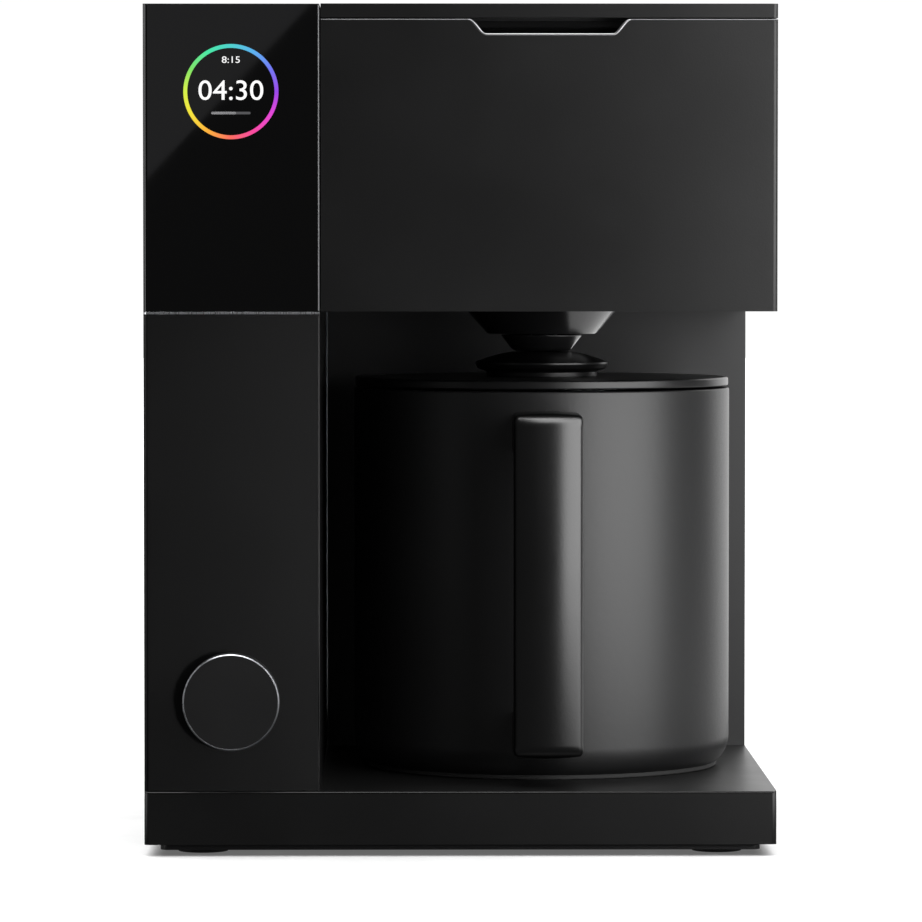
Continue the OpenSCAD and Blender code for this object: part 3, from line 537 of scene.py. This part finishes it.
def carafe_handle():
    """The grip with its two arms: a round front, arched ends and soft long edges."""
    x_half = half_width("carafe_handle")
    z0, z1 = heights("carafe_handle")
    front = low("carafe_handle").y / MM
    body_r = 69.8
    arm = 15
    grip = 8
    turn = 5
    edge = 1.6
    front_r = 30
    end_r = 98

    def arc(y, z, radius, first, last, kind, outward):
        points = []
        for k in range(9):
            a = math.radians(first + (last - first) * k / 8)
            direction = Vector((math.cos(a), math.sin(a)))
            points.append((y + radius * direction.x, z + radius * direction.y, direction * outward, kind))
        return points

    up, down = Vector((0, 1)), Vector((0, -1))
    outline = [
        (None, z1, up, "outer"),
        *arc(front + turn, z1 - turn, turn, 90, 180, "outer", 1),
        *arc(front + turn, z0 + turn, turn, 180, 270, "outer", 1),
        (None, z0, down, "outer"),
        (None, z0 + arm, up, "inner"),
        *arc(front + grip + turn, z0 + arm + turn, turn, 270, 180, "inner", -1),
        *arc(front + grip + turn, z1 - arm - turn, turn, 180, 90, "inner", -1),
        (None, z1 - arm, down, "inner"),
    ]

    def sag(radius, across):
        return radius - math.sqrt(max(radius * radius - across * across, 0))

    steps = [x_half - edge + edge * math.sin(math.radians(a)) for a in (0, 15, 30, 45, 60, 75, 90)]
    flat = [(x_half - edge) * k / 12 for k in range(12)]
    places = sorted([-u for u in flat[1:] + steps] + flat + steps)
    bm = bmesh.new()
    slices = []
    for u in places:
        soft = sag(edge, max(abs(u) - (x_half - edge), 0))
        loop = []
        for y, z, normal, kind in outline:
            inward = soft
            if kind == "outer":
                inward += normal.x ** 2 * sag(front_r, u) + normal.y ** 2 * sag(end_r, u)
            if y is None:
                y = -math.sqrt(body_r ** 2 - u * u)
            else:
                y -= normal.x * inward
            loop.append(bm.verts.new((u * MM, y * MM, (z - normal.y * inward) * MM)))
        slices.append(loop)
    solid(bm, slices)
    piece = mesh_object("carafe_grip", bm)
    smooth(piece, 60)
    piece.location = (BREW_X, 0, 0)
    finish_piece(piece, GRIP, "carafe_plastic", "carafe", "carafe_handle")


carafe_body()
carafe_lid_disc()
brew_cap()
carafe_handle()


# ---------------------------------------------------------------- basket and drip stop

def drip_cup():
    """The drip stop's flared cup."""
    z0, z1 = heights("valve_cup")
    piece = lathe("drip_stop_cup", [
        (4.2, z0, 0.2), (10.6, z0, 3.2), (15.55, z1, 0.35), (13.6, z1, 0.3), (9.9, z0 + 2.5, 0.6),
        (4.2, z0 + 2.5, 0),
    ])
    piece.location = (BASKET_X, 0, 0)
    finish_piece(piece, BASKET_PLASTIC, "carafe_plastic", "drip_valve", "valve_cup")


def drip_core():
    """The middle of the cup's floor, scalloped by its outlets."""
    z0 = low("valve_cup").z
    bm = bmesh.new()
    sides = 48
    holes = 6
    ring_low = []
    for k in range(sides):
        a = 2 * math.pi * k / sides
        notch = 0.6 * max(0.0, math.cos(holes * a)) ** 4
        r = (4.2 - notch) * MM
        ring_low.append(bm.verts.new((r * math.cos(a), r * math.sin(a), z0 + 0.1 * MM)))
    ring_high = [bm.verts.new((v.co.x, v.co.y, z0 + 2.4 * MM)) for v in ring_low]
    solid(bm, [ring_low, ring_high])
    piece = mesh_object("drip_stop_core", bm)
    smooth(piece)
    piece.location = (BASKET_X, 0, 0)
    finish_piece(piece, BASKET_PLASTIC, "carafe_plastic", "drip_valve")


def basket_ribs():
    """Ribs inside the basket that hold the paper filter off the wall."""
    z0, z1 = heights("basket_body")
    count = 12
    half = 0.6
    floor_r = 20.5
    wall_r = 59.2
    crest_r = wall_r - 1.4
    outline = [
        (floor_r, z0 + 2.6), (wall_r, z0 + 46.4), (wall_r, z1 - 18),
        (crest_r, z1 - 19), (crest_r, z0 + 47.2), (floor_r, z0 + 5),
    ]
    bm = bmesh.new()
    for k in range(count):
        a = 2 * math.pi * (k + 0.5) / count
        sides = []
        for offset in (-half, half):
            sides.append([
                bm.verts.new(((r * math.cos(a) - offset * math.sin(a)) * MM,
                              (r * math.sin(a) + offset * math.cos(a)) * MM, z * MM))
                for r, z in outline
            ])
        solid(bm, sides)
    piece = mesh_object("basket_ribs", bm)
    piece.location = (BASKET_X, 0, 0)
    finish_piece(piece, BASKET_PLASTIC, "carafe_plastic", "housing")


drip_cup()
drip_core()
basket_ribs()


# ---------------------------------------------------------------- finger notch and fine edges

def finger_scoop():
    """The curved floor and the back of the tray behind the notch."""
    top = high("head_front_panel").z / MM
    front = FRONT_Y / MM
    floor_z = top - NOTCH_DEPTH + 0.15
    half = 28.4
    bend = 3.0
    back = front + 14.7
    profile = [(front + 2.1, floor_z), (back - bend, floor_z)]
    profile += [
        (back - bend + bend * math.sin(math.radians(a)), floor_z + bend * (1 - math.cos(math.radians(a))))
        for a in range(10, 91, 10)
    ]
    profile.append((back, top - 0.1))
    bm = bmesh.new()
    sides = [[bm.verts.new((x * MM, y * MM, z * MM)) for y, z in profile] for x in (-half, half)]
    for i in range(len(profile) - 1):
        bm.faces.new((sides[0][i], sides[1][i], sides[1][i + 1], sides[0][i + 1]))
    piece = mesh_object("scoop_floor", bm)
    smooth(piece, 40)
    piece.location = (HEAD_X, 0, 0)
    finish_piece(piece, BASKET_PLASTIC, "housing_plastic", "housing")


def bead(name, route, proud, material):
    """A fine rounded edge on the front: a rod along a route of (x, z, radius), in millimetres.

    It stands proud of the front by the given part of its radius.
    """
    bm = bmesh.new()
    loops = []
    for i, (x, z, r) in enumerate(route):
        before, after = route[max(i - 1, 0)], route[min(i + 1, len(route) - 1)]
        along = Vector((after[0] - before[0], after[1] - before[1])).normalized()
        loop = []
        for k in range(24):
            across, deep = r * math.cos(2 * math.pi * k / 24), r * math.sin(2 * math.pi * k / 24)
            loop.append(bm.verts.new(((x - along.y * across) * MM, FRONT_Y + (r * (1 - proud) + deep) * MM,
                                      (z + along.x * across) * MM)))
        loops.append(loop)
    solid(bm, loops)
    piece = mesh_object(name, bm)
    smooth(piece, 50)
    finish_piece(piece, material, "housing_plastic", "housing")


def head_edges():
    """The front panel's top edge, which dips into the finger notch as a soft polished lip."""
    fine = 0.24
    swell = 0.34
    steps = 12
    top = high("head_front_panel").z / MM - fine
    axis = HEAD_X / MM
    dip = []
    for k in range(steps + 1):
        t = k / steps
        x = NOTCH_HALF - NOTCH_RUN * t
        z = top - NOTCH_DEPTH * (1 - math.cos(math.pi * t)) / 2
        dip.append((x, z, fine + swell * math.sin(math.pi * min(t, 0.72))))
    left_side = [(axis - x, z, r) for x, z, r in dip]
    right_side = [(axis + x, z, r) for x, z, r in reversed(dip)]
    bead("notch_lip", left_side + right_side, 0.55, LIP)
    left = low("head_front_panel").x / MM + fine
    right = high("head_front_panel").x / MM - fine
    bead("head_edge_left", [(left, top, fine), (axis - NOTCH_HALF, top, fine)], 0.8, EDGE)
    bead("head_edge_right", [(axis + NOTCH_HALF, top, fine), (right, top, fine)], 0.8, EDGE)


def seam_edges():
    """Fine bright edges of the display glass, of the column's panel and of the base."""
    fine = 0.26
    side = high("display_glass").x / MM - fine
    for name, node, material in (("glass_edge", "display_glass", EDGE),
                                 ("panel_edge", "column_front_panel", EDGE_GLOSS)):
        z0, z1 = heights(node)
        bead(name, [(side, z0 + fine, fine), (side, z1 - fine, fine)], 0.8, material)
    top = high("base_pan").z / MM - 0.45
    left = low("base_pan").x / MM + 1
    right = high("base_pan").x / MM - 1
    bead("base_edge", [(left, top, fine), (right, top, fine)], 0.7, EDGE_GLOSS)


head_edges()
seam_edges()
finger_scoop()


# ---------------------------------------------------------------- tank

def level_marks():
    """Printed level marks on the inside of the tank's rear wall, every second one longer."""
    wall = 2.1 * MM
    y = high("tank_body").y - wall
    x0 = high("tank_body").x - 14 * MM
    first = 70 * MM
    step = 25 * MM
    thick = 0.9 * MM
    bm = bmesh.new()
    for k in range(9):
        z = first + step * k
        x1 = x0 + (9 if k % 2 == 0 else 5) * MM
        slab(bm, [(x0, z), (x1, z), (x1, z + thick), (x0, z + thick)], y - 0.15 * MM, y)
    piece = mesh_object("tank_level_marks", bm)
    finish_piece(piece, PRINT, "silicone_grey", "tank")


level_marks()


# ---------------------------------------------------------------- knob

def knob_cap():
    """The dial: a plain matt face inside a narrow bright-cut edge."""
    front = low("knob").y / MM
    back = high("knob").y / MM
    r = half_width("knob")
    face = front + 0.05
    inner = r - 2.2
    piece = lathe("knob_cap", [
        (3.05, front + 3.6, 0), (7.5, back - 2.6, 0), (9.5, back, 0.3), (inner, front + 8, 0),
        (inner, back, 0.2), (r - 0.05, back, 0.5), (r - 0.05, front + 0.6, 0), (r - 0.5, face, 0),
        (r * 0.5, face, 0), (0.0, face, 0), (0.0, front + 3.6, 0),
    ], along_y=True)
    piece.location = (COLUMN_X, 0, KNOB_Z)
    finish_piece(piece, KNOB_FACE, "housing_plastic", "knob", "knob")


def knob_rim():
    """Thin bright-cut edge round the dial's face."""
    front = low("knob").y / MM
    r = half_width("knob")
    piece = lathe("knob_rim", [
        (r - 0.55, front, 0.03), (r - 0.38, front, 0.06), (r, front + 0.42, 0.08), (r, front + 0.8, 0.03),
        (r - 0.55, front + 0.8, 0),
    ], along_y=True)
    piece.location = (COLUMN_X, 0, KNOB_Z)
    finish_piece(piece, BRIGHT_CUT, "bright_trim", "knob")


knob_cap()
knob_rim()


# ---------------------------------------------------------------- display

RING_Z = BODY_TOP - 31.3 * MM
RING_R = 16.2 * MM
RING_W = 1.4 * MM
LIT_DEPTH = 0.06 * MM
LIT_Y = FRONT_Y - 0.02 * MM


def light_ring():
    """The ring of light round the numerals."""
    bm = bmesh.new()
    steps = 256
    inner, outer = RING_R - RING_W / 2, RING_R + RING_W / 2
    loops = []
    for radius, depth in ((inner, 0), (outer, 0), (outer, LIT_DEPTH), (inner, LIT_DEPTH)):
        loop = []
        for k in range(steps):
            a = 2 * math.pi * k / steps
            loop.append(bm.verts.new((COLUMN_X + radius * math.cos(a), LIT_Y + depth,
                                      RING_Z + radius * math.sin(a))))
        loops.append(loop)
    skin(bm, loops, closed=True)
    piece = mesh_object("display_ring", bm)
    finish_piece(piece, ring_glow("ring_light", COLUMN_X, RING_Z), "black_glass", "housing")


def numerals(name, text, height, width, centre_x, base_z, material):
    """Plain numerals as a thin mesh on the glass, fitted to a width."""
    curve = bpy.data.curves.new(name + "_curve", "FONT")
    curve.body = text
    curve.align_x = "CENTER"
    curve.size = height / 0.69
    curve.extrude = LIT_DEPTH / 2
    curve.resolution_u = 8
    source = bpy.data.objects.new(name + "_source", curve)
    bpy.context.scene.collection.objects.link(source)
    bpy.context.view_layer.update()
    evaluated = source.evaluated_get(bpy.context.evaluated_depsgraph_get())
    mesh = bpy.data.meshes.new_from_object(evaluated)
    bpy.data.objects.remove(source)
    bpy.data.curves.remove(curve)
    across = [v.co.x for v in mesh.vertices]
    mesh.transform(Matrix.Translation((-(min(across) + max(across)) / 2, 0, 0)))
    mesh.transform(Matrix.Scale(width / (max(across) - min(across)), 4, (1, 0, 0)))
    mesh.transform(Matrix.Rotation(math.radians(90), 4, "X"))
    mesh.transform(Matrix.Translation((centre_x, LIT_Y + LIT_DEPTH / 2, base_z)))
    mesh.name = name
    piece = bpy.data.objects.new(name, mesh)
    bpy.context.scene.collection.objects.link(piece)
    finish_piece(piece, material, "black_glass", "housing")


def bar(name, centre_x, centre_z, width, height, material):
    """A lit bar with round ends."""
    bm = bmesh.new()
    steps = 12
    r = height / 2
    outline = []
    for side in (1, -1):
        for k in range(steps + 1):
            a = math.radians(-90 + 180 * k / steps)
            outline.append((centre_x + side * (width / 2 - r + r * math.cos(a)),
                            centre_z + side * r * math.sin(a)))
    slab(bm, outline, LIT_Y, LIT_Y + LIT_DEPTH)
    piece = mesh_object(name, bm)
    finish_piece(piece, material, "black_glass", "housing")


WHITE_LIT = glow("display_white", (1.0, 1.0, 1.0), 1.1)
GREY_LIT = glow("display_grey", (0.36, 0.36, 0.37), 1.0)
DIM_LIT = glow("display_dim", (0.09, 0.09, 0.095), 1.0)

light_ring()
numerals("display_clock", "8:15", 2.3 * MM, 6.4 * MM, COLUMN_X, RING_Z + 10.2 * MM, WHITE_LIT)
numerals("display_count", "04:30", 6.9 * MM, 23 * MM, COLUMN_X, RING_Z - 2.9 * MM, WHITE_LIT)
bar("display_bar_track", COLUMN_X, RING_Z - 7.6 * MM, 14 * MM, 0.9 * MM, DIM_LIT)
bar("display_bar", COLUMN_X - 2.6 * MM, RING_Z - 7.6 * MM, 8.8 * MM, 0.9 * MM, GREY_LIT)


# ---------------------------------------------------------------- camera

CAMERA_PLACE = Vector((-0.0216, -2.050, 0.216))
SENSOR = 36
LENS = 213.033
YAW = math.radians(0.64056)
PITCH = math.radians(2.20107)

camera_data = bpy.data.cameras.new("camera")
camera_data.sensor_width = SENSOR
camera_data.lens = LENS
camera_data.clip_end = 60
camera = bpy.data.objects.new("camera", camera_data)
camera.location = CAMERA_PLACE
camera.rotation_euler = (math.radians(90) - PITCH, 0, -YAW)
bpy.context.scene.collection.objects.link(camera)
bpy.context.scene.camera = camera


# ---------------------------------------------------------------- stage and light

def area_light(name, place, target, size, power, diffuse=True):
    """A rectangular softbox aimed at a target. Without diffuse it only shows as gloss."""
    data = bpy.data.lights.new(name, "AREA")
    data.shape = "RECTANGLE"
    data.size, data.size_y = size
    data.energy = power
    light = bpy.data.objects.new(name, data)
    light.location = place
    light.rotation_euler = (Vector(target) - Vector(place)).to_track_quat("-Z", "Y").to_euler()
    light.visible_camera = False
    light.visible_diffuse = diffuse
    bpy.context.scene.collection.objects.link(light)
    return light


def floor():
    """A pale table. It glows a little, which fills its shadow, and it lights nothing from below."""
    half = 9.0
    below = 0.0002
    fill = 0.13
    bm = bmesh.new()
    bm.faces.new([
        bm.verts.new((x * half, y * half, -below))
        for x, y in ((-1, -1), (1, -1), (1, 1), (-1, 1))
    ])
    piece = mesh_object("floor", bm)
    white = moulded("floor_white", (0.86, 0.86, 0.86), 0.7, grain=200, level=0.2)
    shader = white.node_tree.nodes["Principled BSDF"]
    shader.inputs["Emission Color"].default_value = (1, 1, 1, 1)
    shader.inputs["Emission Strength"].default_value = fill
    piece.data.materials.append(white)
    piece.visible_glossy = False
    piece.visible_diffuse = False
    return piece


def reflected_card():
    """A card behind the camera whose slanting edge shows in the display glass."""
    bm = bmesh.new()
    y = -2.60
    outline = [(-0.045, 0.4685), (-0.300, 0.1966), (-0.420, 0.30), (-0.420, 0.62), (-0.045, 0.62)]
    bm.faces.new([bm.verts.new((x, y, z)) for x, z in outline])
    piece = mesh_object("card", bm)
    piece.data.materials.append(glow("card_grey", (0.33, 0.33, 0.34), 1.0))
    piece.visible_camera = False
    piece.visible_diffuse = False
    piece.visible_shadow = False


def world():
    """White behind the object, and only a dim even light on it."""
    made = bpy.data.worlds.new("studio")
    made.use_nodes = True
    tree = made.node_tree
    tree.nodes.clear()
    path = tree.nodes.new("ShaderNodeLightPath")
    mix = tree.nodes.new("ShaderNodeMixShader")
    out = tree.nodes.new("ShaderNodeOutputWorld")
    tree.links.new(path.outputs["Is Camera Ray"], mix.inputs["Fac"])
    for socket, strength in ((1, 0.07), (2, 1.02)):
        white = tree.nodes.new("ShaderNodeBackground")
        white.inputs["Color"].default_value = (1, 1, 1, 1)
        white.inputs["Strength"].default_value = strength
        tree.links.new(white.outputs["Background"], mix.inputs[socket])
    tree.links.new(mix.outputs["Shader"], out.inputs["Surface"])
    bpy.context.scene.world = made


def sun(name, energy, angle, diffuse=True):
    """A broad sun straight overhead."""
    data = bpy.data.lights.new(name, "SUN")
    data.energy = energy
    data.angle = math.radians(angle)
    light = bpy.data.objects.new(name, data)
    light.visible_diffuse = diffuse
    bpy.context.scene.collection.objects.link(light)
    return light


def light_only(name, lights, pieces):
    """Makes some lights reach only some pieces."""
    lit = bpy.data.collections.new(name)
    for piece in pieces:
        lit.objects.link(piece)
    for light in lights:
        light.light_linking.receiver_collection = lit


table = floor()
reflected_card()
world()
floor_sun = sun("floor_sun", 5.7, 120)
object_lights = [
    sun("overhead", 4.0, 50, diffuse=False),
    area_light("right_softbox", (0.51, -0.36, 0.42), (0.21, 0.59, 0.34), (0.70, 0.78), 8.4),
    area_light("white_behind", (0.66, 0.90, 0.45), (0.40, 0.0, 0.20), (1.10, 1.0), 5.5),
    area_light("white_table", (0.76, -0.05, 0.012), (0.76, -0.05, 1.0), (1.10, 1.2), 3.7),
    area_light("front_overhead", (0.05, -1.20, 1.60), (0.03, -0.1, 0.20), (1.0, 0.6), 9, diffuse=False),
    area_light("left_rear", (-1.1, 0.5, 0.35), (0, -0.05, 0.15), (0.25, 0.9), 1.5),
]
left_front = area_light("left_front", (-0.95, -0.45, 0.30), (0.0, -0.1, 0.15), (0.30, 0.9), 3.2)
below_head = area_light("below_head", (0.085, 0.01, 0.1712), (0.085, 0.01, 1.0), (0.07, 0.10), 0.034)
front_table = area_light("front_table", (0.52, -0.45, 0.01), (0.52, -0.45, 1.0), (0.60, 0.60), 2.0)
panel_key = area_light("panel_key", (0.23, -1.10, 0.06), (-0.07, -0.107, 0.10), (0.12, 0.12), 3.2)
light_only("lit_panel", [panel_key], [nodes["column_front_panel"]])
light_only("lit_floor", [floor_sun], [table])
light_only("lit_basket", [below_head], [nodes["basket_body"], bpy.data.objects["drip_stop_cup"]])
light_only("lit_carafe", [front_table], [bpy.data.objects["carafe_body"]])
on_object = [o for o in bpy.context.scene.objects if o.type == "MESH" and o != table]
light_only("lit_object", object_lights, on_object)
light_only("lit_left", [left_front], [o for o in on_object if o.name != "carafe_grip"])

scene = bpy.context.scene
scene.view_settings.view_transform = "Standard"
scene.view_settings.look = "None"
